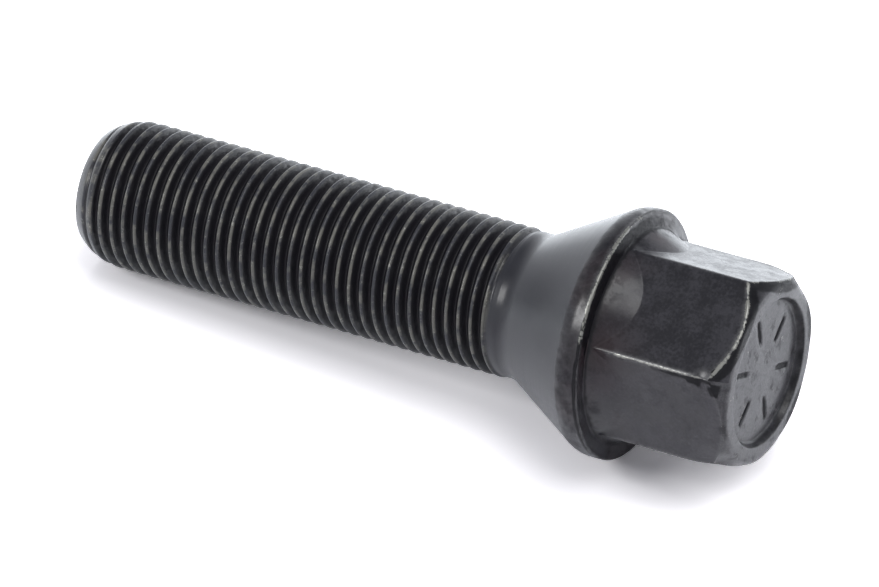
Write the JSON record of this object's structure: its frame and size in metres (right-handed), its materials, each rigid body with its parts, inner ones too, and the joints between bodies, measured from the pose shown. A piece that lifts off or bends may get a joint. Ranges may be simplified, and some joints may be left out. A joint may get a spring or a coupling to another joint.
{
  "type": "wheel bolt",
  "caption": "Black steel wheel bolt with a dished hexagon head, a collar, a conical seat and a long fine thread, for clamping a road wheel to its hub.",
  "frame": {"origin": "on the bolt's axis, in the plane of the flat rim at the end of its head, on which the bolt stands", "axes": "+Z runs along the bolt's axis from the head to the thread's tip; two of the hexagon's flats face +X and -X"},
  "size_m": [0.023, 0.023, 0.0686],
  "materials": {
    "black_oxide_steel": "thin oiled black oxide over forged, turned and rolled steel, satin, worn to grey along the collar's edge and the hexagon's corners"
  },
  "bodies": {
    "root": {"wheel_bolt": "black_oxide_steel"}
  },
  "joints": []
}
